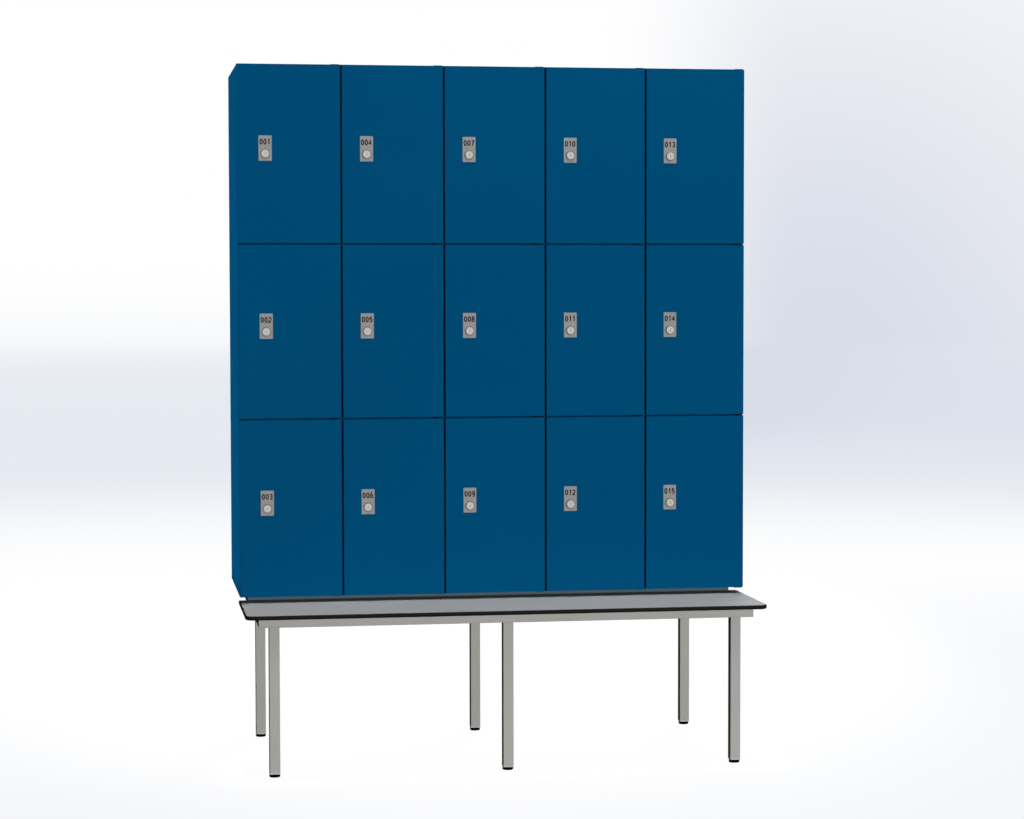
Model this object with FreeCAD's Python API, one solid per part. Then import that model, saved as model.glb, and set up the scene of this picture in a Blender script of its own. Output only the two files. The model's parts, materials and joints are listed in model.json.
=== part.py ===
import FreeCAD, Part
import os

# A bank of numbered lockers on a bench, in millimetres.
# +Z is up, -Y is the front and +X is the right seen from the front.
# The origin is on the floor, at the middle of the width and of the depth.

# Locker bank
column_count = 5
tier_count = 3
column_pitch = 300.0
end_column_width = 299.0
middle_tier_height = 507.0
end_tier_height = 518.5
locker_depth = 520.0
panel_thickness = 12.0
back_thickness = 6.0
groove_depth = 4.0

# Doors
door_thickness = 12.0
door_gap = 5.0
board_setback = 3.0
door_arris = 0.8
hinge_front_radius = 2.5
hinge_rear_radius = 5.0
hinge_round_share = 0.45

# Door pivots
pivot_inset = 8.0
pivot_plate_thickness = 2.0
pivot_plate_width = 24.0
pivot_plate_margin = 5.0
pivot_plate_depth = 40.0
pivot_plate_setback = 2.0
pivot_clearance = 0.5
pin_radius = 2.5
pin_reach = 10.0
bush_radius = 3.5
bush_length = 12.0
bush_proud = 0.2
running_clearance = 0.05
push_fit = 0.02

# Number plate and lock
lock_inset = 67.5
plate_width = 38.0
plate_height = 73.0
plate_thickness = 2.0
plate_corner = 1.5
plate_rise = 16.0
spindle_radius = 6.0
barrel_wall = 2.95
barrel_reach = 18.0
barrel_fit = 0.05
collar_flange = 5.0
collar_height = 1.5
nut_wall = 4.0
nut_thickness = 5.0
knob_radius = 11.0
knob_length = 6.0
knob_edge = 1.0
knob_rim = 1.5
knob_dish_depth = 0.6
key_slot_width = 2.2
key_slot_height = 9.0
key_slot_depth = 4.0
turn_clearance = 0.3
stub_share = 1.17
stub_fit = 0.05
cam_length = 45.0
cam_width = 14.0
cam_thickness = 2.0
cam_screw_head_radius = 5.0
cam_screw_head_height = 2.5
cam_screw_radius = 2.0
cam_screw_length = 10.0

# Strike brackets and door buffers
strike_thickness = 2.0
strike_overlap = 9.0
strike_height = 40.0
strike_clearance = 0.8
strike_flange = 12.0
buffer_radius = 2.5
buffer_inset = 25.0
buffer_clearance = 0.3

# Seat slab
seat_height = 466.0
seat_thickness = 12.0
seat_projection = 294.0
seat_rear_reach = 79.0
seat_side_overhang = 1.0
seat_corner_radius = 26.0
seat_edge_radius = 3.5

# Bench frame, legs and feet
tube_width = 30.0
tube_wall = 2.0
tube_corner = 2.0
bench_rail_height = 25.0
bench_side_inset = 37.0
bench_front_setback = 28.0
bench_rear_inset = 42.0
foot_radius = 15.5
foot_height = 9.0
foot_edge = 1.5
stem_radius = 4.0
stem_length = 30.0
cap_thickness = 4.5
cap_plug_length = 20.0
cap_fit = 0.1

# Plinth under the lockers
plinth_rise = 16.0
plinth_side_inset = 25.0

# Screws and fixing holes
screw_fit = 0.05
back_screw_radius = 1.5
back_screw_head_radius = 3.0
back_screw_length = 20.0
seat_screw_radius = 2.5
seat_screw_head_radius = 4.5
seat_screw_head_height = 3.0
seat_screw_cover = 4.0
access_hole_radius = 6.5
base_bolt_radius = 3.0
base_bolt_head_radius = 6.0
base_bolt_head_height = 3.5
base_bolt_cover = 8.0
strike_screw_radius = 1.5
strike_screw_head_radius = 3.0
strike_screw_head_height = 1.8
strike_screw_cover = 2.0
strike_screw_spacing = 22.0
seat_screw_shares = (-0.8, -0.3, 0.3, 0.8)
wall_fix_spacing_x = 600.0
wall_fix_spacing_z = 1200.0
wall_fix_radius = 4.0

# One overrun for every cut that has to pass a face
overrun = 1.0

# Counts, axes and directions
END_BAYS = 2
HEXAGON_SIDES = 6
FULL_TURN = 360
ALONG_X, ALONG_Y, ALONG_Z = range(3)
ANGLE_TOLERANCE = 1e-6
Vec = FreeCAD.Vector
RIGHT = Vec(1, 0, 0)
BACK = Vec(0, 1, 0)
UP = Vec(0, 0, 1)
DOWN = Vec(0, 0, -1)
LEFT = Vec(-1, 0, 0)
FRONT = Vec(0, -1, 0)


def bay_edges(count, end_size, middle_size):
    """Dividing lines of a row of bays, from the first outer face to the last."""
    edges = [0.0]
    for size in [end_size] + [middle_size] * (count - END_BAYS) + [end_size]:
        edges.append(edges[-1] + size)
    return edges


def box(x_range, y_range, z_range):
    """Block between two values along each axis."""
    (x0, x1), (y0, y1), (z0, z1) = x_range, y_range, z_range
    return Part.makeBox(x1 - x0, y1 - y0, z1 - z0, Vec(x0, y0, z0))


def rod(radius, start, length, direction):
    """Round bar from a start point."""
    return Part.makeCylinder(radius, length, start, direction)


def edges_along(shape, direction, point_test):
    """Straight edges parallel to a direction whose middle passes a test."""
    picked = []
    for edge in shape.Edges:
        slant = edge.tangentAt(edge.FirstParameter).cross(direction).Length
        if slant < ANGLE_TOLERANCE and point_test(edge.CenterOfMass):
            picked.append(edge)
    return picked


def tube(x_range, y_range, z_range, axis):
    """Rectangular tube, open at both ends, running along one axis."""
    ranges = [x_range, y_range, z_range]
    outer = box(*ranges)
    directions = (RIGHT, BACK, UP)
    corners = edges_along(outer, directions[axis], lambda point: True)
    outer = outer.makeFillet(tube_corner, corners)
    inner_ranges = []
    for index, (low, high) in enumerate(ranges):
        shift = -overrun if index == axis else tube_wall
        inner_ranges.append((low + shift, high - shift))
    return outer.cut(box(*inner_ranges))


def countersunk_screw(radius, head_radius, length, point, direction):
    """Screw whose flat head lies in a face at a point, with its shank along a direction."""
    head_depth = head_radius - radius
    head = Part.makeCone(head_radius, radius, head_depth, point, direction)
    return head.fuse(rod(radius, point, length, direction)).removeSplitter()


def headed_screw(radius, head_radius, head_height, length, point, direction):
    """Screw whose head stands on a face at a point, with its shank along a direction."""
    head = rod(head_radius, point, head_height, direction * -1)
    return head.fuse(rod(radius, point, length, direction)).removeSplitter()


# Sizes and places that follow from the driving sizes
barrel_radius = spindle_radius + running_clearance + barrel_wall
collar_radius = barrel_radius + collar_flange
nut_corner_reach = (barrel_radius + nut_wall) / (3 ** 0.5 / 2)
stub_side = spindle_radius * stub_share
seat_screw_bite = seat_thickness - seat_screw_cover
base_bolt_tail = plinth_rise - base_bolt_cover
strike_screw_bite = panel_thickness - strike_screw_cover
strike_reach = lock_inset - cam_length + strike_overlap
depth_middle = (seat_projection + locker_depth) / 2
door_front_y = seat_projection - depth_middle
door_back_y = door_front_y + door_thickness
board_front_y = door_back_y + board_setback
locker_back_y = door_front_y + locker_depth
board_back_y = locker_back_y - back_thickness
pivot_y = door_front_y + door_thickness / 2
seat_bottom_z = seat_height - seat_thickness
locker_base_z = seat_height + plinth_rise
column_edges = bay_edges(column_count, end_column_width, column_pitch)
tier_edges = bay_edges(tier_count, end_tier_height, middle_tier_height)
half_width = column_edges[-1] / 2
column_x = [edge - half_width for edge in column_edges]
tier_z = [locker_base_z + edge for edge in tier_edges]
locker_top_z = tier_z[-1]
half_panel = panel_thickness / 2
inner_half_width = half_width - panel_thickness
floor_z = locker_base_z + panel_thickness
ceiling_z = locker_top_z - panel_thickness


def left_board_face(column):
    """X of the board face that closes a column on its left."""
    return column_x[column] + (panel_thickness if column == 0 else half_panel)


def right_board_face(column):
    """X of the board face that closes a column on its right."""
    last = column == column_count - 1
    return column_x[column + 1] - (panel_thickness if last else half_panel)


def door_x_range(column):
    """Left and right edges of the doors in a column; the end doors cover the side panels."""
    left = column_x[column] + (0 if column == 0 else door_gap / 2)
    last = column == column_count - 1
    right = column_x[column + 1] - (0 if last else door_gap / 2)
    return left, right


def door_z_range(tier):
    """Lower and upper edges of the doors in a tier, a clearance away from the pivot plates."""
    return (pivot_plate_z_range(tier)[1] + pivot_clearance,
            pivot_plate_z_range(tier + 1)[0] - pivot_clearance)


def pivot_x(column):
    """X of the pivot line of a column's doors."""
    return door_x_range(column)[1] - pivot_inset


def lock_point(column, tier):
    """Point on the lock's axis, in the plane of the door fronts."""
    low, high = door_z_range(tier)
    return Vec(left_board_face(column) + lock_inset, door_front_y, (low + high) / 2)


def pivot_plate_z_range(level):
    """Heights of the pivot plates at a level: base, between tiers, or top."""
    line = tier_z[level]
    if level == 0:
        return line, line + pivot_plate_thickness
    if level == tier_count:
        return line - pivot_plate_thickness, line
    half_plate = door_gap / 2 - pivot_clearance
    return line - half_plate, line + half_plate


def pivot_plate_block(column, level):
    """Outline block of a pivot plate, which is also the slot that holds it."""
    right = pivot_x(column) + pivot_plate_margin
    front = door_front_y + pivot_plate_setback
    return box((right - pivot_plate_width, right), (front, front + pivot_plate_depth),
               pivot_plate_z_range(level))


def door_pivots():
    """Pivot plates and their pins, above, between and below the doors."""
    solids = []
    engagement = pivot_clearance + pin_reach
    for column in range(column_count):
        for level in range(tier_count + 1):
            plate_low, plate_high = pivot_plate_z_range(level)
            pin_low = plate_low - (engagement if level > 0 else 0)
            pin_high = plate_high + (engagement if level < tier_count else 0)
            pin = rod(pin_radius, Vec(pivot_x(column), pivot_y, pin_low), pin_high - pin_low, UP)
            solids.append(pivot_plate_block(column, level).cut(pin))
            solids.append(pin)
    return solids


def shelf_ranges(column, level):
    """Ranges of a shelf, with its ends let into the boards on both sides."""
    return ((left_board_face(column) - groove_depth, right_board_face(column) + groove_depth),
            (board_front_y, board_back_y),
            (tier_z[level] - half_panel, tier_z[level] + half_panel))


def shelf_grooves(x_low, x_high):
    """Blocks of every shelf, kept to the boards between two values of X."""
    blocks = []
    for column in range(column_count):
        for level in range(1, tier_count):
            x_range, y_range, z_range = shelf_ranges(column, level)
            if x_range[0] < x_high and x_range[1] > x_low:
                blocks.append(box(x_range, y_range, z_range))
    return blocks


def side_panels():
    """Outer panels behind the end doors, grooved for the boards and slotted for the pivot plates."""
    solids = []
    y_range = (board_front_y, locker_back_y)
    for x_range in ((-half_width, -inner_half_width), (inner_half_width, half_width)):
        panel = box(x_range, y_range, (locker_base_z, locker_top_z))
        for z_range in ((locker_base_z, floor_z), (ceiling_z, locker_top_z)):
            panel = panel.cut(box((-inner_half_width - groove_depth, inner_half_width + groove_depth),
                                  (board_front_y, board_back_y), z_range))
        for groove in shelf_grooves(*x_range):
            panel = panel.cut(groove)
        for level in range(tier_count + 1):
            panel = panel.cut(pivot_plate_block(column_count - 1, level))
        solids.append(panel)
    return solids


def base_bolt_points():
    """Places of the bolts that hold the base panel to the plinth, on the base panel's top."""
    bar_middle = seat_rear_y + half_tube
    rear_middle = bench_rear_y - half_tube
    points = []
    for column in range(column_count):
        middle = (left_board_face(column) + right_board_face(column)) / 2
        for y in (bar_middle, rear_middle):
            points.append(Vec(middle, y, floor_z))
    return points


def bolt_hole(point):
    """Clearance hole for a base bolt, through the base panel and the tube wall below."""
    start = point + UP * overrun
    return rod(base_bolt_radius + screw_fit, start, panel_thickness + base_bolt_tail + overrun, DOWN)


def top_and_base_panels():
    """Top and base panels, between the side panels, grooved for the partitions."""
    solids = []
    x_range = (-inner_half_width - groove_depth, inner_half_width + groove_depth)
    for level, z_range in ((0, (locker_base_z, floor_z)), (tier_count, (ceiling_z, locker_top_z))):
        panel = box(x_range, (board_front_y, board_back_y), z_range)
        for line in column_x[1:-1]:
            panel = panel.cut(partition_block(line))
        for column in range(column_count):
            panel = panel.cut(pivot_plate_block(column, level))
        if level == 0:
            for point in base_bolt_points():
                panel = panel.cut(bolt_hole(point))
        for screw in back_screws(level):
            panel = panel.cut(screw)
        solids.append(panel)
    return solids


def partition_block(line):
    """Plain block of an upright partition on a dividing line."""
    return box((line - half_panel, line + half_panel), (board_front_y, board_back_y),
               (floor_z - groove_depth, ceiling_z + groove_depth))


def partitions():
    """Upright boards between the columns, grooved for the shelves on both sides."""
    solids = []
    for line in column_x[1:-1]:
        board = partition_block(line)
        for groove in shelf_grooves(line - half_panel, line + half_panel):
            board = board.cut(groove)
        for screw in partition_screws(line):
            board = board.cut(screw)
        solids.append(board)
    return [cut_strike_screws(board) for board in solids]


def shelves():
    """Shelves between the tiers, slotted at the front for the pivot plates."""
    solids = []
    for column in range(column_count):
        for level in range(1, tier_count):
            solids.append(box(*shelf_ranges(column, level)).cut(pivot_plate_block(column, level)))
    return solids


def back_screw(x, z, fit=0.0):
    """Countersunk screw through the back panel into the rear edge of a board."""
    return countersunk_screw(back_screw_radius + fit, back_screw_head_radius + fit,
                             back_screw_length + fit, Vec(x, locker_back_y, z), FRONT)


def back_screw_places(level):
    """X and Z of the back panel's screws into the base panel or the top panel."""
    z = locker_base_z + half_panel if level == 0 else locker_top_z - half_panel
    places = []
    for column in range(column_count):
        places.append(((left_board_face(column) + right_board_face(column)) / 2, z))
    return places


def partition_screw_places(line):
    """X and Z of the back panel's screws into a partition, at the middle of each tier."""
    return [(line, (tier_z[tier] + tier_z[tier + 1]) / 2) for tier in range(tier_count)]


def back_screws(level, fit=screw_fit):
    """Screws, or their holes, along the base panel or the top panel."""
    return [back_screw(x, z, fit) for x, z in back_screw_places(level)]


def partition_screws(line, fit=screw_fit):
    """Screws, or their holes, along a partition."""
    return [back_screw(x, z, fit) for x, z in partition_screw_places(line)]


def back_panel():
    """Back panel between the side panels, with its screw holes and four wall fixing holes."""
    panel = box((-inner_half_width, inner_half_width), (board_back_y, locker_back_y),
                (locker_base_z, locker_top_z))
    for level in (0, tier_count):
        for screw in back_screws(level):
            panel = panel.cut(screw)
    for line in column_x[1:-1]:
        for screw in partition_screws(line):
            panel = panel.cut(screw)
    middle_z = (locker_base_z + locker_top_z) / 2
    for x in (-wall_fix_spacing_x / 2, wall_fix_spacing_x / 2):
        for z in (middle_z - wall_fix_spacing_z / 2, middle_z + wall_fix_spacing_z / 2):
            start = Vec(x, board_back_y - overrun, z)
            panel = panel.cut(rod(wall_fix_radius, start, back_thickness + overrun + overrun, BACK))
    return [panel]


cam_front_y = door_back_y + barrel_reach + turn_clearance
cam_back_y = cam_front_y + cam_thickness
strike_back_y = cam_front_y - strike_clearance
strike_front_y = strike_back_y - strike_thickness


def strike_screw_points(column, tier):
    """Places of a strike bracket's screws on its flange."""
    middle = lock_point(column, tier)
    x = left_board_face(column) + strike_thickness
    y = strike_front_y - strike_flange / 2
    return [Vec(x, y, middle.z + side * strike_screw_spacing / 2) for side in (-1, 1)]


def strike_screw(point, fit=0.0):
    """Screw through a strike bracket's flange into the board beside it."""
    return headed_screw(strike_screw_radius + fit, strike_screw_head_radius, strike_screw_head_height,
                        strike_thickness + strike_screw_bite + fit, point, LEFT)


def cut_strike_screws(board):
    """Board with the holes of the strike brackets that are screwed to it."""
    for column in range(column_count):
        near = board.BoundBox.XMin - overrun < left_board_face(column) < board.BoundBox.XMax + overrun
        for tier in range(tier_count if near else 0):
            for point in strike_screw_points(column, tier):
                board = board.cut(strike_screw(point, screw_fit))
    return board


def strike_brackets():
    """Angle brackets behind the doors, each with a lip that the lock's cam turns behind."""
    solids = []
    for column in range(column_count):
        for tier in range(tier_count):
            middle = lock_point(column, tier)
            face = left_board_face(column)
            z_range = (middle.z - strike_height / 2, middle.z + strike_height / 2)
            flange = box((face, face + strike_thickness),
                         (strike_front_y - strike_flange, strike_back_y), z_range)
            lip = box((face, face + strike_reach), (strike_front_y, strike_back_y), z_range)
            bracket = flange.fuse(lip).removeSplitter()
            for point in strike_screw_points(column, tier):
                bracket = bracket.cut(strike_screw(point, screw_fit))
            solids.append(bracket)
    return solids


def door_buffers():
    """Rubber buffers on the front edges of the shelves and of the top and base panels."""
    solids = []
    length = board_setback - buffer_clearance
    for column in range(column_count):
        x = door_x_range(column)[0] + buffer_inset
        for level in range(tier_count + 1):
            z = tier_z[level]
            if level == 0:
                z += half_panel
            if level == tier_count:
                z -= half_panel
            solids.append(rod(buffer_radius, Vec(x, board_front_y, z), length, FRONT))
    return solids


def door(column, tier):
    """Flat door with rounded hinge edges, bush holes in its ends and a hole for the lock."""
    x_range = door_x_range(column)
    z_range = door_z_range(tier)
    panel = box(x_range, (door_front_y, door_back_y), z_range)
    middle_x = sum(x_range) / 2
    largest = door_thickness * hinge_round_share
    rounding = (
        (hinge_front_radius, lambda point: point.x > middle_x and point.y < pivot_y),
        (hinge_rear_radius, lambda point: point.x > middle_x and point.y > pivot_y),
        (door_arris, lambda point: point.x < middle_x),
    )
    for radius, point_test in rounding:
        panel = panel.makeFillet(min(radius, largest), edges_along(panel, UP, point_test))
    hole_depth = bush_length - bush_proud
    for start_z, direction in ((z_range[0], UP), (z_range[1], DOWN)):
        start = Vec(pivot_x(column), pivot_y, start_z)
        panel = panel.cut(rod(bush_radius + push_fit, start, hole_depth, direction))
    start = lock_point(column, tier) + FRONT * overrun
    hole_length = door_thickness + overrun + overrun
    return panel.cut(rod(barrel_radius + barrel_fit, start, hole_length, BACK))


def number_plate(point):
    """Plate on the door's front, with the lock's hole below its number field."""
    low = point.z + plate_rise - plate_height / 2
    plate = box((point.x - plate_width / 2, point.x + plate_width / 2),
                (point.y - plate_thickness, point.y), (low, low + plate_height))
    plate = plate.makeFillet(plate_corner, edges_along(plate, BACK, lambda middle: True))
    start = point + FRONT * (plate_thickness + overrun)
    return plate.cut(rod(barrel_radius + barrel_fit, start, plate_thickness + overrun + overrun, BACK))


def lock_housing(point):
    """Collar on the plate with the barrel that passes through the door."""
    plate_front = point + FRONT * plate_thickness
    collar = rod(collar_radius, plate_front, collar_height, FRONT)
    barrel_length = plate_thickness + door_thickness + barrel_reach
    housing = collar.fuse(rod(barrel_radius, plate_front, barrel_length, BACK)).removeSplitter()
    bore_start = plate_front + FRONT * (collar_height + overrun)
    bore_length = barrel_length + collar_height + overrun + overrun
    return housing.cut(rod(spindle_radius + running_clearance, bore_start, bore_length, BACK))


def lock_nut(point):
    """Hexagon nut on the barrel, against the back of the door."""
    start = point + BACK * door_thickness
    turn = FreeCAD.Rotation(BACK, FULL_TURN / HEXAGON_SIDES)
    arm = RIGHT * nut_corner_reach
    corners = []
    for _ in range(HEXAGON_SIDES):
        corners.append(start + arm)
        arm = turn.multVec(arm)
    outline = Part.makePolygon(corners + corners[:1])
    nut = Part.Face(outline).extrude(BACK * nut_thickness)
    bore_start = start + FRONT * overrun
    return nut.cut(rod(barrel_radius + barrel_fit, bore_start, nut_thickness + overrun + overrun, BACK))


def pivot_bush(x, z, direction):
    """Plain bush let into the end of a door, standing a little proud of it."""
    start = Vec(x, pivot_y, z) - direction * bush_proud
    bush = rod(bush_radius, start, bush_length, direction)
    bore_start = start - direction * overrun
    return bush.cut(rod(pin_radius + running_clearance, bore_start,
                        bush_length + overrun + overrun, direction))


def door_hardware(column, tier):
    """What is fixed to a door: plate, lock housing, nut and two pivot bushes."""
    point = lock_point(column, tier)
    low, high = door_z_range(tier)
    x = pivot_x(column)
    return [number_plate(point), lock_housing(point), lock_nut(point),
            pivot_bush(x, low, UP), pivot_bush(x, high, DOWN)]


def lock_knob(column, tier):
    """What turns in a lock: knob with spindle, cam and cam screw."""
    point = lock_point(column, tier)
    knob_back = point + FRONT * (plate_thickness + collar_height + turn_clearance)
    knob = rod(knob_radius, knob_back, knob_length, FRONT)
    knob_front_y = knob_back.y - knob_length
    rim = [edge for edge in knob.Edges if edge.BoundBox.YMax < knob_front_y + knob_edge and edge.Closed]
    knob = knob.makeFillet(knob_edge, rim)
    face = Vec(point.x, knob_front_y, point.z)
    dish_radius = knob_radius - knob_edge - knob_rim
    knob = knob.cut(rod(dish_radius, face + FRONT * overrun, knob_dish_depth + overrun, BACK))
    slot = box((point.x - key_slot_width / 2, point.x + key_slot_width / 2),
               (knob_front_y - overrun, knob_front_y + key_slot_depth),
               (point.z - key_slot_height / 2, point.z + key_slot_height / 2))
    knob = knob.cut(slot)
    spindle = rod(spindle_radius, knob_back, cam_front_y - knob_back.y, BACK)
    stub = cam_stub(point, stub_side)
    screw_start = Vec(point.x, cam_back_y, point.z)
    turned = knob.fuse(spindle).fuse(stub).removeSplitter()
    turned = turned.cut(rod(cam_screw_radius + screw_fit, screw_start + BACK * overrun,
                            cam_screw_length + overrun, FRONT))
    screw = headed_screw(cam_screw_radius, cam_screw_head_radius, cam_screw_head_height,
                         cam_screw_length, screw_start, FRONT)
    return [turned, lock_cam(point), screw]


def cam_stub(point, side):
    """Square end of the spindle inside the cam."""
    return box((point.x - side / 2, point.x + side / 2), (cam_front_y, cam_back_y),
               (point.z - side / 2, point.z + side / 2))


def lock_cam(point):
    """Cam with round ends, hanging down from the spindle."""
    half = cam_width / 2
    top = Vec(point.x, cam_front_y, point.z)
    tip = top + DOWN * (cam_length - half)
    bar = box((point.x - half, point.x + half), (cam_front_y, cam_back_y), (tip.z, top.z))
    for end in (top, tip):
        bar = bar.fuse(rod(half, end, cam_thickness, BACK))
    return bar.removeSplitter().cut(cam_stub(point, stub_side + stub_fit + stub_fit))


# Bench places
seat_half = half_width + seat_side_overhang
seat_front_y = door_front_y - seat_projection
seat_rear_y = door_front_y + seat_rear_reach
bench_half = half_width - bench_side_inset
bench_front_y = seat_front_y + bench_front_setback
bench_rear_y = locker_back_y - bench_rear_inset
bench_rail_z = (seat_bottom_z - bench_rail_height, seat_bottom_z)
half_tube = tube_width / 2
plinth_half = half_width - plinth_side_inset
leg_x = (half_tube + tube_width - bench_half, 0.0, bench_half - tube_width - half_tube)
leg_y = (bench_front_y + tube_width + half_tube, bench_rear_y - tube_width - half_tube)
leg_bottom_z = foot_height + cap_thickness


def seat_screw_points():
    """Places of the screws that hold the seat slab, on the underside of the slab."""
    points = []
    front_y = bench_front_y + half_tube
    cross_y = seat_rear_y - half_tube
    for share in seat_screw_shares:
        for y in (front_y, cross_y):
            points.append(Vec(share * (bench_half - tube_width), y, seat_bottom_z))
    return points


def seat_screw(point, fit=0.0):
    """Screw up through a bench rail's top wall into the seat slab."""
    start = point + DOWN * tube_wall
    return headed_screw(seat_screw_radius + fit, seat_screw_head_radius, seat_screw_head_height,
                        tube_wall + seat_screw_bite + fit, start, UP)


def cut_seat_screws(rail):
    """Rail with a hole in its top wall and an access hole below it for each seat screw."""
    for point in seat_screw_points():
        rail = rail.cut(seat_screw(point, screw_fit))
        access_start = point + DOWN * (bench_rail_height + overrun)
        rail = rail.cut(rod(access_hole_radius, access_start, tube_wall + overrun, UP))
    return rail


def seat_slab():
    """Seat slab with rounded front corners and eased edges."""
    slab = box((-seat_half, seat_half), (seat_front_y, seat_rear_y), (seat_bottom_z, seat_height))
    middle_y = (seat_front_y + seat_rear_y) / 2
    corners = edges_along(slab, UP, lambda point: point.y < middle_y)
    slab = slab.makeFillet(seat_corner_radius, corners)
    rims = [edge for edge in slab.Edges
            if edge.BoundBox.ZLength < seat_edge_radius and edge.CenterOfMass.y < seat_rear_y - overrun]
    slab = slab.makeFillet(seat_edge_radius, rims)
    for point in seat_screw_points():
        slab = slab.cut(seat_screw(point, screw_fit))
    return [slab]


def bench_rails():
    """Welded frame under the seat and the plinth: front, back, sides, centre and cross rails."""
    inner_half = bench_half - tube_width
    front = (bench_front_y, bench_front_y + tube_width)
    rear = (bench_rear_y - tube_width, bench_rear_y)
    cross = (seat_rear_y - tube_width, seat_rear_y)
    rails = [
        tube((-bench_half, bench_half), front, bench_rail_z, ALONG_X),
        tube((-bench_half, bench_half), rear, bench_rail_z, ALONG_X),
        tube((-half_tube, half_tube), (front[1] + tube_width, rear[0] - tube_width), bench_rail_z, ALONG_Y),
    ]
    for x_range in ((-bench_half, -inner_half), (inner_half, bench_half)):
        rails.append(tube(x_range, (front[1], rear[0]), bench_rail_z, ALONG_Y))
    for x_range in ((-inner_half, -half_tube), (half_tube, inner_half)):
        rails.append(tube(x_range, cross, bench_rail_z, ALONG_X))
    return [cut_seat_screws(rail) for rail in rails]


def plinth_rails():
    """Frame between bench and lockers, against the seat's rear edge: front, rear, centre and sides."""
    inner_half = plinth_half - tube_width
    tube_z = (seat_bottom_z, locker_base_z)
    front = (seat_rear_y, seat_rear_y + tube_width)
    rear = (bench_rear_y - tube_width, bench_rear_y)
    rails = [
        tube((-plinth_half, plinth_half), front, tube_z, ALONG_X),
        tube((-inner_half, inner_half), rear, tube_z, ALONG_X),
        tube((-half_tube, half_tube), (front[1], rear[0]), tube_z, ALONG_Y),
        tube((-plinth_half, -inner_half), (front[1], rear[1]), tube_z, ALONG_Y),
        tube((inner_half, plinth_half), (front[1], rear[1]), tube_z, ALONG_Y),
    ]
    for point in base_bolt_points():
        rails = [rail.cut(bolt_hole(point)) for rail in rails]
    return rails


def leg_places():
    """X and Y of the legs' centres."""
    return [(x, y) for x in leg_x for y in leg_y]


def square_range(middle, side):
    """Range of a given size about a middle."""
    return middle - side / 2, middle + side / 2


def legs():
    """Legs of square tube, from the end caps up to the seat."""
    z_range = (leg_bottom_z, seat_bottom_z)
    return [tube(square_range(x, tube_width), square_range(y, tube_width), z_range, ALONG_Z)
            for x, y in leg_places()]


def leg_end_caps():
    """End caps, each with a plug inside the tube and a hole for the foot's stem."""
    solids = []
    plug_side = tube_width - 2 * (tube_wall + cap_fit)
    for x, y in leg_places():
        cap = box(square_range(x, tube_width), square_range(y, tube_width), (foot_height, leg_bottom_z))
        cap = cap.makeFillet(tube_corner, edges_along(cap, UP, lambda point: True))
        plug = box(square_range(x, plug_side), square_range(y, plug_side),
                   (leg_bottom_z, leg_bottom_z + cap_plug_length))
        hole = rod(stem_radius + screw_fit, Vec(x, y, foot_height - overrun),
                   cap_thickness + cap_plug_length + overrun + overrun, UP)
        solids.append(cap.fuse(plug).removeSplitter().cut(hole))
    return solids


def feet():
    """Round levelling feet with stems in the end caps."""
    solids = []
    for x, y in leg_places():
        disc = rod(foot_radius, Vec(x, y, 0), foot_height, UP)
        rim = [edge for edge in disc.Edges if edge.BoundBox.ZMax < foot_edge and edge.Closed]
        disc = disc.makeChamfer(foot_edge, rim)
        stem = rod(stem_radius, Vec(x, y, foot_height), stem_length, UP)
        solids.append(disc.fuse(stem).removeSplitter())
    return solids


def fasteners():
    """Every screw and bolt of the carcass and the bench."""
    solids = []
    for level in (0, tier_count):
        solids += back_screws(level, 0.0)
    for line in column_x[1:-1]:
        solids += partition_screws(line, 0.0)
    solids += [seat_screw(point) for point in seat_screw_points()]
    for point in base_bolt_points():
        solids.append(headed_screw(base_bolt_radius, base_bolt_head_radius, base_bolt_head_height,
                                   panel_thickness + base_bolt_tail, point, DOWN))
    for column in range(column_count):
        for tier in range(tier_count):
            solids += [strike_screw(point) for point in strike_screw_points(column, tier)]
    return solids


def save(node, solids):
    """Write one node as a group of separate solids."""
    shape = solids[0] if len(solids) == 1 else Part.makeCompound(solids)
    shape.exportStep(os.path.join("parts", node + ".step"))


def main():
    os.makedirs("parts", exist_ok=True)
    save("side_panels", [cut_strike_screws(panel) for panel in side_panels()])
    save("top_and_base_panels", top_and_base_panels())
    save("partitions", partitions())
    save("shelves", shelves())
    save("back_panel", back_panel())
    save("door_pivots", door_pivots())
    save("strike_brackets", strike_brackets())
    save("door_buffers", door_buffers())
    save("seat_slab", seat_slab())
    save("bench_rails", bench_rails())
    save("plinth_rails", plinth_rails())
    save("legs", legs())
    save("leg_end_caps", leg_end_caps())
    save("feet", feet())
    save("fasteners", fasteners())
    number = 0
    for column in range(column_count):
        for tier in reversed(range(tier_count)):
            number += 1
            label = "%03d" % number
            save("door_" + label, [door(column, tier)])
            save("door_hardware_" + label, door_hardware(column, tier))
            save("lock_knob_" + label, lock_knob(column, tier))


main()
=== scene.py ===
import json
import math
from collections import namedtuple

import bmesh
import bpy
from mathutils import Matrix, Vector


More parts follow.
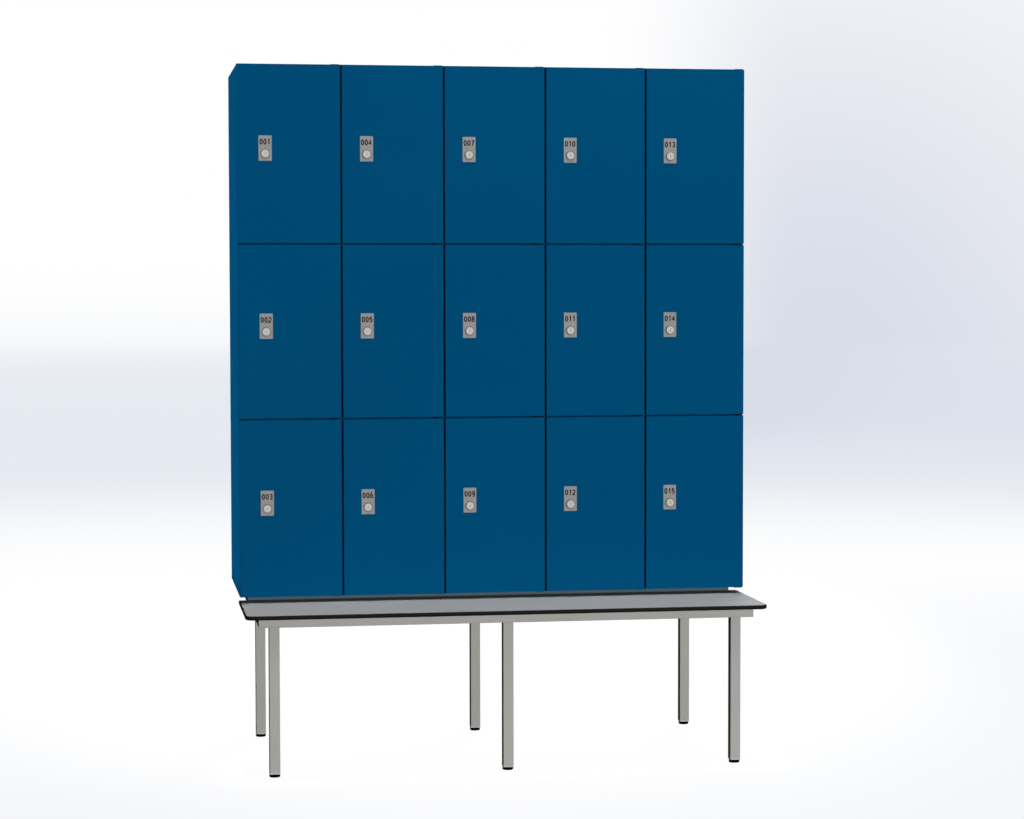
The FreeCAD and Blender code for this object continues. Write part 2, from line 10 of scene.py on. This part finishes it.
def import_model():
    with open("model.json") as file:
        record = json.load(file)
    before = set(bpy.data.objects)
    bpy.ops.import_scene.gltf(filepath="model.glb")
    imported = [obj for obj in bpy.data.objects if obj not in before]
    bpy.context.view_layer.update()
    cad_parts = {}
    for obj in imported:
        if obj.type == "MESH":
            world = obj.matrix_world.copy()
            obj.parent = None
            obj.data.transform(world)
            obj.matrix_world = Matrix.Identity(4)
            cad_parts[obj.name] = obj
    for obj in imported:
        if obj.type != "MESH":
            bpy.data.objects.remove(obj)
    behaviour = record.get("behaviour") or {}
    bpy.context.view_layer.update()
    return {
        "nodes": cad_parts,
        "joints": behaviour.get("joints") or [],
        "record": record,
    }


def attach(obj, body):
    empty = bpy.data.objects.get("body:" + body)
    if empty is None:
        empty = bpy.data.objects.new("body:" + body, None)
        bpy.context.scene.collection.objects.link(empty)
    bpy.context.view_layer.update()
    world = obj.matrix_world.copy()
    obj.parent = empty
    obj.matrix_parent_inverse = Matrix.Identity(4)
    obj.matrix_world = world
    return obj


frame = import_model()

# Records for the values below
Finish = namedtuple("Finish", "tone_scale rough_scale rough_detail rough_low rough_high "
                              "bump_scale bump_detail bump_height bump_strength")
Grain = namedtuple("Grain", "scale detail stretch shade bump_height bump_strength")
Lamp = namedtuple("Lamp", "name place target width height power spread_deg")
Arc = namedtuple("Arc", "x y reach_x reach_y start_deg end_deg")

# A millimetre, in metres
MM = 0.001

# Camera, fitted to the door gaps and outer edges of the photograph; metres and radians
IMAGE_WIDTH_PX = 1024
FOCAL_LENGTH_PX = 2525.56
SENSOR_WIDTH_MM = 36.0
CAMERA_PLACE = Vector((-1.12503, -7.43433, 1.38570))
CAMERA_YAW = 0.159059
CAMERA_PITCH = 0.048951
CAMERA_ROLL = -0.001667
CAMERA_CLIP_END = 120.0

# Colours, as linear red, green and blue
BLUE = (0.0004, 0.0700, 0.1740)
BLUE_DEEP = (0.0003, 0.0660, 0.1650)
SEAT_GREY = (0.298, 0.306, 0.312)
SEAT_GREY_LIGHT = (0.332, 0.337, 0.346)
EDGE_BLACK = (0.013, 0.013, 0.012)
# Painted shade: navy on the front and rear edges of shelves and side panels, so the gaps between doors
# and boards stay dark
NAVY_GAP_SHADE = (0.0002, 0.0280, 0.0700)
FRAME_GREY = (0.430, 0.421, 0.400)
FRAME_GREY_DARK = (0.405, 0.397, 0.377)
# Painted shade and painted reflection: the plinth rails' paint is darkened for the shade under the
# lockers and tinted blue for the doors' reflection
PLINTH_SHADE_GREY = (0.088, 0.124, 0.148)
PLINTH_SHADE_GREY_DARK = (0.080, 0.114, 0.137)
PLATE_STEEL = (0.320, 0.313, 0.300)
# Painted shade: the collar round the lock, darker than the plate
SHADED_COLLAR_STEEL = (0.205, 0.200, 0.188)
KNOB_STEEL = (0.600, 0.586, 0.560)
CAP_GREY = (0.520, 0.525, 0.535)
FOOT_BLACK = (0.003, 0.003, 0.003)
RUBBER_BLACK = (0.020, 0.020, 0.020)
INK_BLACK = (0.006, 0.005, 0.004)
# Painted shade: black for the pivots in the gaps between the tiers, so the gaps stay dark
PIVOT_GAP_SHADE_BLACK = (0.008, 0.008, 0.009)
STUDIO_WHITE = (1.0, 1.0, 1.0)
HORIZON_PALE = (0.79, 0.82, 0.88)
SIDE_PALE = (0.69, 0.72, 0.81)
POOL_PALE = (0.905, 0.918, 0.948)
OPAQUE = 1.0

# Boards and paint: scales of their noises, roughness ranges, height and strength of the fine relief
BOARD_FINISH = Finish(tone_scale=1.6, rough_scale=9.0, rough_detail=4.0, rough_low=0.44, rough_high=0.52,
                      bump_scale=700.0, bump_detail=3.0, bump_height=0.03 * MM, bump_strength=0.25)
SEAT_FINISH = Finish(tone_scale=2.2, rough_scale=12.0, rough_detail=4.0, rough_low=0.40, rough_high=0.50,
                     bump_scale=600.0, bump_detail=3.0, bump_height=0.04 * MM, bump_strength=0.30)
PAINT_FINISH = Finish(tone_scale=6.0, rough_scale=40.0, rough_detail=3.0, rough_low=0.42, rough_high=0.52,
                      bump_scale=450.0, bump_detail=2.0, bump_height=0.06 * MM, bump_strength=0.35)
TONE_DETAIL = 2.0
NOISE_LOW = 0.3
NOISE_HIGH = 0.7

# Metals and plastics: one grain shades the colour, the roughness and the relief
EVEN = (1.0, 1.0, 1.0)
UPRIGHT = (1.0, 1.0, 0.04)
BRUSHED = Grain(scale=420.0, detail=3.0, stretch=UPRIGHT, shade=0.86,
                bump_height=0.02 * MM, bump_strength=0.30)
SATIN = Grain(scale=260.0, detail=3.0, stretch=EVEN, shade=0.90,
              bump_height=0.02 * MM, bump_strength=0.25)
MOULDED = Grain(scale=500.0, detail=2.0, stretch=EVEN, shade=0.85,
                bump_height=0.05 * MM, bump_strength=0.30)
PLATE_ROUGHNESS = (0.36, 0.48)
KNOB_ROUGHNESS = (0.35, 0.45)
PIVOT_ROUGHNESS = (0.50, 0.60)
HARD_PLASTIC_ROUGHNESS = (0.44, 0.56)
RUBBER_ROUGHNESS = (0.64, 0.76)
INK_ROUGHNESS = (0.54, 0.66)
PLATE_METALLIC = 0.7
KNOB_METALLIC = 0.7
MATT = 0.0
CAP_GLOSS = 0.2
INK_GLOSS = 0.1

# Share of the height from middle to top or base beyond which pivots are blue
OUTER_PIVOT_SHARE = 0.97

# How squarely a face looks along an axis to count as a board's edge, a board's face or a flat top
EDGE_FACING = 0.92
FACE_FACING = 0.5
TOP_FACING = 0.985

# Lamps, in metres and watts: a low fill in front that reaches under the seat, one above, one behind,
# and straight beams on both sides and on the seat
WIDE_DEG = 180.0
BEAM_DEG = 2.0
LAMPS = (
    Lamp("front_fill", place=(8.0, -24.0, 2.0), target=(0.0, -0.1, 0.9),
         width=8.0, height=3.0, power=5150.0, spread_deg=WIDE_DEG),
    Lamp("top_lamp", place=(0.3, -2.0, 5.6), target=(0.1, -0.2, 0.5),
         width=3.0, height=3.0, power=100.0, spread_deg=WIDE_DEG),
    Lamp("back_lamp", place=(2.6, 5.8, 4.4), target=(0.0, 0.4, 1.2),
         width=2.5, height=2.5, power=420.0, spread_deg=WIDE_DEG),
    Lamp("left_beam", place=(-2.6, 0.15, 1.30), target=(-0.75, 0.15, 1.30),
         width=0.9, height=1.62, power=4.8, spread_deg=BEAM_DEG),
    Lamp("right_beam", place=(2.6, 0.15, 1.30), target=(0.75, 0.15, 1.30),
         width=0.9, height=1.62, power=1.0, spread_deg=BEAM_DEG),
    Lamp("seat_beam", place=(0.0, -0.265, 3.4), target=(0.0, -0.265, 0.4),
         width=1.64, height=0.41, power=1.15, spread_deg=BEAM_DEG),
)
WORLD_FILL = 0.06

# Floor: its extent and fade-out, the tone that takes the part's shadow, and the backdrop's tones far off
FLOOR_REACH = 60.0
FLOOR_FADE_FROM = 44.0
FLOOR_FADE_TO = 59.0
FLOOR_TONE = 0.04
FLOOR_LIT_SHARE = 0.45
FLOOR_ROUGHNESS = 0.9
FLOOR_SHADOW_TO = 1.6
FLOOR_WHITE_TO = 4.5
FLOOR_PALE_FROM = 12.0
FLOOR_PALE_TO = 18.0
FLOOR_CLEAR_FROM = 88.0
FLOOR_SIDE_FROM = 8.0
FLOOR_SIDE_FULL = 20.0

# White pool of light on the floor, and the pale surround in front of it
POOL_MIDDLE = (0.0, 4.5, 0.0)
POOL_STRETCH = (1.30, 0.55, 1.0)
POOL_WHITE_TO = 2.6
POOL_PALE_FROM = 3.4
POOL_FADE_FROM = 1.0
POOL_FADE_TO = 5.0

# Sky: rises and headings, as parts of a unit vector, between which its tones change
SKY_PALE_RISE = -0.075
SKY_WHITE_RISE = 0.012
SIDE_FROM = 0.19
SIDE_TO = 0.27
SIDE_EASE_FROM = 0.28
SIDE_EASE_TO = 0.40
SIDE_EASED_SHARE = 0.68
SIDE_CLEAR_RISE = 0.25
SIDE_FULL_RISE = -0.03

# Lock plates and the number marks on them
FACE_MARGIN = 0.2 * MM
PLATE_THICKNESS = 2.0 * MM
DIGIT_HEIGHT = 16.9 * MM
DIGIT_WIDTH = 9.5 * MM
DIGIT_PITCH = 11.0 * MM
DIGIT_STROKE = 3.1 * MM
DIGIT_RISE = 34.5 * MM
DIGIT_SHIFT = -0.4 * MM
DIGIT_DEPTH = 0.12 * MM
ARC_STEPS = 28
MITRE_LIMIT = 0.45
FULL_TURN_DEG = 360

# Strokes of the digits as points and arcs, in shares of half the width and height of their centre lines;
# an arc of a full turn is a closed stroke, and a 9 is a 6 turned half round
GLYPHS = {
    "0": [[Arc(0.0, 0.0, 1.0, 1.0, 0, 360)]],
    "1": [[(-0.75, 0.55), (0.25, 1.0), (0.25, -1.0)]],
    "2": [[Arc(0.0, 0.45, 1.0, 0.55, 165, -38), (-1.0, -1.0), (1.05, -1.0)]],
    "3": [[Arc(0.0, 0.5, 0.9, 0.5, 150, -100)], [Arc(0.0, -0.5, 1.0, 0.5, 100, -150)]],
    "4": [[(1.1, -0.4), (-1.0, -0.4), (0.45, 1.0), (0.45, -1.0)]],
    "5": [[(0.95, 1.0), (-0.75, 1.0), (-0.9, 0.1), Arc(0.0, -0.35, 1.0, 0.65, 128, -150)]],
    "6": [[Arc(0.0, -0.375, 1.0, 0.625, 0, 360)], [Arc(0.9, -0.375, 1.9, 1.75, 180, 105)]],
    "7": [[(-1.0, 1.0), (1.0, 1.0), (-0.35, -1.0)]],
    "8": [[Arc(0.0, 0.5, 0.9, 0.5, 0, 360)], [Arc(0.0, -0.5, 1.0, 0.5, 0, 360)]],
}

# Places of a colour mix node's sockets, which share their names with those of its other kinds
MIX_FIRST = 6
MIX_SECOND = 7
MIX_RESULT = 2

nodes_by_name = frame["nodes"]
joints_by_name = {joint["name"]: joint for joint in frame["joints"]}
door_labels = sorted(name[len("lock_knob_"):] for name in nodes_by_name if name.startswith("lock_knob_"))


class Tree:
    """A shader's nodes and links, with short calls for the kinds used here."""

    def __init__(self, node_tree):
        self.nodes = node_tree.nodes
        self.links = node_tree.links

    def add(self, kind):
        return self.nodes.new("ShaderNode" + kind)

    def put(self, socket, value):
        """Link a socket to another node's output, or set it to a number or a colour."""
        if isinstance(value, bpy.types.NodeSocket):
            self.links.new(value, socket)
        elif isinstance(value, tuple):
            socket.default_value = (*value, OPAQUE)
        else:
            socket.default_value = value

    def calc(self, operation, *values):
        node = self.add("Math")
        node.operation = operation
        for socket, value in zip(node.inputs, values):
            self.put(socket, value)
        return node.outputs[0]

    def product(self, first, second):
        return self.calc("MULTIPLY", first, second)

    def absolute(self, value):
        return self.calc("ABSOLUTE", value)

    def above(self, value, limit):
        return self.calc("GREATER_THAN", value, limit)

    def map_range(self, kind, value, start, end, first, last):
        node = self.add("MapRange")
        node.interpolation_type = kind
        ends = {"Value": value, "From Min": start, "From Max": end, "To Min": first, "To Max": last}
        for name, content in ends.items():
            self.put(node.inputs[name], content)
        return node.outputs["Result"]

    def span(self, value, first, last, start=NOISE_LOW, end=NOISE_HIGH):
        """Value that goes evenly from first to last as another goes from start to end."""
        return self.map_range("LINEAR", value, start, end, first, last)

    def smooth(self, value, start, end, first=0.0, last=1.0):
        """Share that goes smoothly from first to last as a value goes from start to end."""
        return self.map_range("SMOOTHSTEP", value, start, end, first, last)

    def axis(self, vector, name):
        node = self.add("SeparateXYZ")
        self.put(node.inputs["Vector"], vector)
        return node.outputs[name]

    def vector_calc(self, operation, vector, output):
        node = self.add("VectorMath")
        node.operation = operation
        self.put(node.inputs[0], vector)
        return node.outputs[output]

    def length(self, vector):
        return self.vector_calc("LENGTH", vector, "Value")

    def direction(self, vector):
        return self.vector_calc("NORMALIZE", vector, "Vector")

    def stretched(self, vector, stretch, middle=(0.0, 0.0, 0.0)):
        """Vector measured from a middle and stretched along the axes."""
        node = self.add("Mapping")
        node.inputs["Scale"].default_value = stretch
        node.inputs["Location"].default_value = [-place * scale for place, scale in zip(middle, stretch)]
        self.put(node.inputs["Vector"], vector)
        return node.outputs["Vector"]

    def mix(self, factor, first, second):
        node = self.add("Mix")
        node.data_type = "RGBA"
        self.put(node.inputs["Factor"], factor)
        self.put(node.inputs[MIX_FIRST], first)
        self.put(node.inputs[MIX_SECOND], second)
        return node.outputs[MIX_RESULT]

    def mix_shader(self, factor, first, second):
        node = self.add("MixShader")
        for socket, value in zip(node.inputs, (factor, first, second)):
            self.put(socket, value)
        return node.outputs["Shader"]


class Graph(Tree):
    """A material's nodes, with short calls for its surface."""

    def __init__(self, name):
        self.material = bpy.data.materials.new(name)
        self.material.use_nodes = True
        super().__init__(self.material.node_tree)
        self.shader = self.nodes["Principled BSDF"]
        self.output = self.nodes["Material Output"]
        coordinates = self.add("TexCoord").outputs
        self.place = coordinates["Object"]
        self.normal = coordinates["Normal"]

    def set(self, **values):
        """Set or link the shader's inputs, named with underscores for spaces."""
        for name, value in values.items():
            self.put(self.shader.inputs[name.replace("_", " ")], value)

    def noise(self, scale, detail=TONE_DETAIL, stretch=EVEN):
        node = self.add("TexNoise")
        self.put(node.inputs["Vector"], self.stretched(self.place, stretch))
        self.put(node.inputs["Scale"], scale)
        self.put(node.inputs["Detail"], detail)
        return node.outputs["Fac"]

    def bump(self, height, distance, strength):
        node = self.add("Bump")
        self.put(node.inputs["Strength"], strength)
        self.put(node.inputs["Distance"], distance)
        self.put(node.inputs["Height"], height)
        self.set(Normal=node.outputs["Normal"])

    def finished(self, finish, colour, shade):
        """Give a matt board or paint its roughness and relief, and return its softly varied colour."""
        unevenness = self.noise(finish.rough_scale, finish.rough_detail)
        roughness = self.span(unevenness, finish.rough_low, finish.rough_high)
        self.set(Roughness=roughness, Specular_IOR_Level=MATT)
        relief = self.noise(finish.bump_scale, finish.bump_detail)
        self.bump(relief, finish.bump_height, finish.bump_strength)
        tone = self.span(self.noise(finish.tone_scale), 0.0, 1.0)
        return self.mix(tone, colour, shade)

    def grained(self, grain, colour, roughness):
        """Give a metal or plastic its roughness and relief from one grain, and return its colour."""
        value = self.noise(grain.scale, grain.detail, grain.stretch)
        self.set(Roughness=self.span(value, *roughness))
        self.bump(value, grain.bump_height, grain.bump_strength)
        shaded = tuple(grain.shade * part for part in colour)
        return self.mix(self.span(value, 0.0, 1.0), colour, shaded)


def blue_board(name, shade_edging=None, core=None):
    """Matt blue laminate; a painted gap shade darkens what faces the front or rear, a core colours all
    that doesn't.
    """
    graph = Graph(name)
    colour = graph.finished(BOARD_FINISH, BLUE, BLUE_DEEP)
    facing = graph.absolute(graph.axis(graph.normal, "Y"))
    # Painted shade on the edges that face the front or rear
    if shade_edging:
        colour = graph.mix(graph.above(facing, EDGE_FACING), colour, shade_edging)
    if core:
        colour = graph.mix(graph.above(facing, FACE_FACING), core, colour)
    graph.set(Base_Color=colour)
    return graph.material


def seat_laminate():
    """Grey compact laminate on the faces, black core on the edges."""
    graph = Graph("seat_laminate")
    grey = graph.finished(SEAT_FINISH, SEAT_GREY, SEAT_GREY_LIGHT)
    flat = graph.above(graph.absolute(graph.axis(graph.normal, "Z")), TOP_FACING)
    graph.set(Base_Color=graph.mix(flat, EDGE_BLACK, grey))
    return graph.material


def frame_paint(name, colour, shade):
    """Powder coat with a fine orange-peel surface."""
    graph = Graph(name)
    graph.set(Base_Color=graph.finished(PAINT_FINISH, colour, shade))
    return graph.material


def brushed_steel():
    """Brushed steel plates, with the collar round the lock darkened as painted shade."""
    graph = Graph("brushed_steel")
    plate = graph.grained(BRUSHED, PLATE_STEEL, PLATE_ROUGHNESS)
    plate_front_y = joints_by_name["lock_001_turn"]["pos_m"][1] - PLATE_THICKNESS - FACE_MARGIN
    behind = graph.above(graph.axis(graph.place, "Y"), plate_front_y)
    # What stands in front of the plate, the collar round the lock, takes painted shade
    graph.set(Base_Color=graph.mix(behind, SHADED_COLLAR_STEEL, plate), Metallic=PLATE_METALLIC)
    return graph.material


def knob_metal():
    """Turned metal with a fine satin surface."""
    graph = Graph("knob_metal")
    graph.set(Base_Color=graph.grained(SATIN, KNOB_STEEL, KNOB_ROUGHNESS), Metallic=KNOB_METALLIC)
    return graph.material


def pivot_steel():
    """Pivots between the tiers painted black as painted shade of the gaps, and blue ones at the top and
    the base.
    """
    graph = Graph("pivot_steel")
    black = graph.grained(SATIN, PIVOT_GAP_SHADE_BLACK, PIVOT_ROUGHNESS)
    heights = [corner[2] for corner in nodes_by_name["door_pivots"].bound_box]
    level = graph.span(graph.axis(graph.place, "Z"), -1.0, 1.0, min(heights), max(heights))
    outer = graph.above(graph.absolute(level), OUTER_PIVOT_SHARE)
    graph.set(Base_Color=graph.mix(outer, black, BLUE), Specular_IOR_Level=MATT)
    return graph.material


def plain_plastic(name, colour, roughness, gloss):
    """Moulded plastic, rubber or ink with a fine spark-eroded texture."""
    graph = Graph(name)
    graph.set(Base_Color=graph.grained(MOULDED, colour, roughness), Specular_IOR_Level=gloss)
    return graph.material


def dress_nodes():
    """Give every CAD node the material of its slot, or its own where it differs."""
    by_slot = {
        "blue_board": blue_board("blue_board"),
        "seat_laminate": seat_laminate(),
        "frame_paint": frame_paint("frame_paint", FRAME_GREY, FRAME_GREY_DARK),
        "steel": brushed_steel(),
        "pivot_steel": pivot_steel(),
        "knob_metal": knob_metal(),
        "cap_plastic": plain_plastic("cap_plastic", CAP_GREY, HARD_PLASTIC_ROUGHNESS, CAP_GLOSS),
        "foot_plastic": plain_plastic("foot_plastic", FOOT_BLACK, HARD_PLASTIC_ROUGHNESS, MATT),
        "buffer_rubber": plain_plastic("buffer_rubber", RUBBER_BLACK, RUBBER_ROUGHNESS, MATT),
    }
    # Shelves and side panels get painted shade on their front and rear edges
    gap_shaded_board = blue_board("gap_shaded_board", shade_edging=NAVY_GAP_SHADE)
    door_board = blue_board("door_board", core=EDGE_BLACK)
    by_node = {
        "shelves": gap_shaded_board,
        "side_panels": gap_shaded_board,
        # The plinth rails take frame paint that is darkened and tinted blue, as painted shade and painted
        # reflection under the lockers
        "plinth_rails": frame_paint("plinth_painted_shade", PLINTH_SHADE_GREY, PLINTH_SHADE_GREY_DARK),
    }
    by_node.update(("door_" + label, door_board) for label in door_labels)
    slots = {part["node"]: part["material_slot"] for part in frame["record"]["subparts"]}
    for name, node in nodes_by_name.items():
        node.data.materials.clear()
        node.data.materials.append(by_node.get(name) or by_slot[slots[name]])


def arc_points(arc):
    """Points along an elliptical arc, with angles measured anticlockwise from the right."""
    points = []
    for step in range(ARC_STEPS + 1):
        angle = math.radians(arc.start_deg + (arc.end_deg - arc.start_deg) * step / ARC_STEPS)
        points.append((arc.x + arc.reach_x * math.cos(angle), arc.y + arc.reach_y * math.sin(angle)))
    return points


def stroke_line(stroke):
    """Centre line of one stroke about its digit's middle, and whether it is closed."""
    half_width = (DIGIT_WIDTH - DIGIT_STROKE) / 2
    half_height = (DIGIT_HEIGHT - DIGIT_STROKE) / 2
    points = []
    closed = False
    for piece in stroke:
        if isinstance(piece, Arc):
            points += arc_points(piece)
            closed = piece.end_deg - piece.start_deg == FULL_TURN_DEG
        else:
            points.append(piece)
    if closed:
        points.pop()
    return [Vector((half_width * x, half_height * y)) for x, y in points], closed


def digit_strokes():
    """Centre lines of the ten digits about their middles, each with whether it is closed."""
    strokes = {digit: [stroke_line(stroke) for stroke in glyph] for digit, glyph in GLYPHS.items()}
    strokes["9"] = [([-point for point in points], closed) for points, closed in strokes["6"]]
    return strokes


def stroke_edges(points, closed):
    """Left and right edges of a stroke along its centre line, mitred at the corners."""
    edges = []
    for index, point in enumerate(points):
        ways = []
        if closed or index > 0:
            ways.append((point - points[index - 1]).normalized())
        if closed or index < len(points) - 1:
            ways.append((points[(index + 1) % len(points)] - point).normalized())
        along = sum(ways, Vector((0.0, 0.0))).normalized()
        reach = DIGIT_STROKE / 2 / max(along.dot(ways[0]), MITRE_LIMIT)
        across = Vector((-along.y, along.x)) * reach
        edges.append((point + across, point - across))
    return edges


def add_stroke(build, edges, closed, middle):
    """Add one stroke as a closed strip of the ink's thickness, on the plate about its digit's middle."""
    middle_x, face_y, middle_z = middle
    rings = []
    for left, right in edges:
        ring = []
        for flat, depth in ((left, DIGIT_DEPTH), (right, DIGIT_DEPTH), (right, 0.0), (left, 0.0)):
            ring.append(build.verts.new((middle_x + flat.x, face_y - depth, middle_z + flat.y)))
        rings.append(ring)
    following = rings[1:] + rings[:1] if closed else rings[1:]
    for ring, after in zip(rings, following):
        for side in range(len(ring)):
            build.faces.new((ring[side], after[side], after[side - 1], ring[side - 1]))
    if not closed:
        build.faces.new(rings[0])
        build.faces.new(rings[-1][::-1])


def number_mark(label, strokes, ink):
    """Printed number on a door's plate, as thin raised strokes."""
    lock = Vector(joints_by_name["lock_%s_turn" % label]["pos_m"])
    build = bmesh.new()
    for index, digit in enumerate(label):
        middle_x = lock.x + DIGIT_SHIFT + DIGIT_PITCH * (index - (len(label) - 1) / 2)
        middle = (middle_x, lock.y - PLATE_THICKNESS, lock.z + DIGIT_RISE)
        for points, closed in strokes[digit]:
            add_stroke(build, stroke_edges(points, closed), closed, middle)
    bmesh.ops.recalc_face_normals(build, faces=build.faces)
    mesh = bpy.data.meshes.new("number_" + label)
    build.to_mesh(mesh)
    build.free()
    mesh.materials.append(ink)
    mark = bpy.data.objects.new("number_" + label, mesh)
    bpy.context.scene.collection.objects.link(mark)
    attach(mark, "door_leaf_" + label)


def camera():
    """Camera at the photograph's place and viewing angle."""
    data = bpy.data.cameras.new("photo_camera")
    data.sensor_width = SENSOR_WIDTH_MM
    data.lens = FOCAL_LENGTH_PX / IMAGE_WIDTH_PX * SENSOR_WIDTH_MM
    data.clip_end = CAMERA_CLIP_END
    forward = Vector((math.sin(CAMERA_YAW) * math.cos(CAMERA_PITCH),
                      math.cos(CAMERA_YAW) * math.cos(CAMERA_PITCH),
                      -math.sin(CAMERA_PITCH)))
    level_right = Vector((math.cos(CAMERA_YAW), -math.sin(CAMERA_YAW), 0.0))
    level_down = forward.cross(level_right)
    right = level_right * math.cos(CAMERA_ROLL) - level_down * math.sin(CAMERA_ROLL)
    down = level_right * math.sin(CAMERA_ROLL) + level_down * math.cos(CAMERA_ROLL)
    turn = Matrix((right, -down, -forward)).transposed().to_4x4()
    made = bpy.data.objects.new("photo_camera", data)
    made.matrix_world = Matrix.Translation(CAMERA_PLACE) @ turn
    bpy.context.scene.collection.objects.link(made)
    bpy.context.scene.camera = made


def light(lamp):
    """Oblong lamp that faces a target and stays out of reflections; a small spread makes a beam."""
    data = bpy.data.lights.new(lamp.name, "AREA")
    data.shape = "RECTANGLE"
    data.size = lamp.width
    data.size_y = lamp.height
    data.energy = lamp.power
    data.spread = math.radians(lamp.spread_deg)
    made = bpy.data.objects.new(lamp.name, data)
    made.location = lamp.place
    made.rotation_euler = (Vector(lamp.target) - Vector(lamp.place)).to_track_quat("-Z", "Y").to_euler()
    made.visible_glossy = False
    bpy.context.scene.collection.objects.link(made)


def seen_directly(tree):
    """1 where a ray comes from the camera, a reflection or a clear surface, and 0 elsewhere."""
    path = tree.add("LightPath").outputs
    seen = path["Is Camera Ray"]
    for name in ("Is Glossy Ray", "Is Transmission Ray"):
        seen = tree.calc("MAXIMUM", seen, path[name])
    return seen


def right_share(tree, heading_x):
    """Share of the right side's tone: none ahead, full to the right, less farther round."""
    rising = tree.smooth(heading_x, SIDE_FROM, SIDE_TO)
    easing = tree.smooth(heading_x, SIDE_EASE_FROM, SIDE_EASE_TO, 1.0, SIDE_EASED_SHARE)
    return tree.product(rising, easing)


def backdrop_colour(tree, layers):
    """White with pale tones laid over it, each given with its share."""
    colour = STUDIO_WHITE
    for share, tone in layers:
        colour = tree.mix(share, colour, tone)
    return colour


def world():
    """White surroundings, pale at the horizon and on the right, with a low even fill."""
    made = bpy.data.worlds.new("studio")
    bpy.context.scene.world = made
    made.use_nodes = True
    tree = Tree(made.node_tree)
    tree.nodes.clear()
    fill = tree.add("Background")
    tree.put(fill.inputs["Color"], STUDIO_WHITE)
    tree.put(fill.inputs["Strength"], WORLD_FILL)
    heading = tree.add("TexCoord").outputs["Generated"]
    rise = tree.axis(heading, "Z")
    pale = tree.smooth(rise, SKY_WHITE_RISE, SKY_PALE_RISE)
    low = tree.smooth(rise, SIDE_CLEAR_RISE, SIDE_FULL_RISE)
    side = tree.product(right_share(tree, tree.axis(heading, "X")), low)
    seen = tree.add("Background")
    tree.put(seen.inputs["Color"], backdrop_colour(tree, ((pale, HORIZON_PALE), (side, SIDE_PALE))))
    surface = tree.mix_shader(seen_directly(tree), fill.outputs[0], seen.outputs[0])
    tree.put(tree.add("OutputWorld").inputs["Surface"], surface)


def floor_paint():
    """Pale floor with the part's shadow near it and the backdrop's tones far off, where it fades out."""
    graph = Graph("floor")
    distance = graph.length(graph.place)
    pale = graph.product(graph.smooth(distance, FLOOR_WHITE_TO, FLOOR_PALE_FROM),
                         graph.smooth(distance, FLOOR_CLEAR_FROM, FLOOR_PALE_TO))
    side = graph.product(right_share(graph, graph.axis(graph.direction(graph.place), "X")),
                         graph.smooth(distance, FLOOR_SIDE_FROM, FLOOR_SIDE_FULL))
    pool_distance = graph.length(graph.stretched(graph.place, POOL_STRETCH, POOL_MIDDLE))
    surround = graph.product(graph.smooth(pool_distance, POOL_WHITE_TO, POOL_PALE_FROM),
                             graph.smooth(graph.axis(graph.place, "Y"), POOL_FADE_TO, POOL_FADE_FROM))
    near = graph.span(distance, FLOOR_TONE, 0.0, FLOOR_SHADOW_TO, FLOOR_WHITE_TO)
    graph.set(Base_Color=near, Roughness=FLOOR_ROUGHNESS, Specular_IOR_Level=MATT)
    glow = graph.add("Emission")
    layers = ((surround, POOL_PALE), (pale, HORIZON_PALE), (side, SIDE_PALE))
    graph.put(glow.inputs["Color"], backdrop_colour(graph, layers))
    level = graph.span(near, 1.0, 1.0 - FLOOR_TONE * FLOOR_LIT_SHARE, 0.0, FLOOR_TONE)
    graph.put(glow.inputs["Strength"], graph.product(level, seen_directly(graph)))
    total = graph.add("AddShader")
    graph.put(total.inputs[0], graph.shader.outputs["BSDF"])
    graph.put(total.inputs[1], glow.outputs["Emission"])
    faded = graph.smooth(distance, FLOOR_FADE_FROM, FLOOR_FADE_TO)
    clear = graph.add("BsdfTransparent").outputs["BSDF"]
    surface = graph.mix_shader(faded, total.outputs["Shader"], clear)
    graph.put(graph.output.inputs["Surface"], surface)
    return graph.material


def floor():
    """Wide flat floor under the part."""
    mesh = bpy.data.meshes.new("floor")
    corners = [(x * FLOOR_REACH, y * FLOOR_REACH, 0.0) for x, y in ((-1, -1), (1, -1), (1, 1), (-1, 1))]
    mesh.from_pydata(corners, [], [(0, 1, 2, 3)])
    sheet = bpy.data.objects.new("floor", mesh)
    bpy.context.scene.collection.objects.link(sheet)
    mesh.materials.append(floor_paint())


dress_nodes()
number_ink = plain_plastic("number_ink", INK_BLACK, INK_ROUGHNESS, INK_GLOSS)
digits = digit_strokes()
for door_label in door_labels:
    number_mark(door_label, digits, number_ink)
camera()
for studio_lamp in LAMPS:
    light(studio_lamp)
world()
floor()
bpy.context.scene.view_settings.view_transform = "Standard"
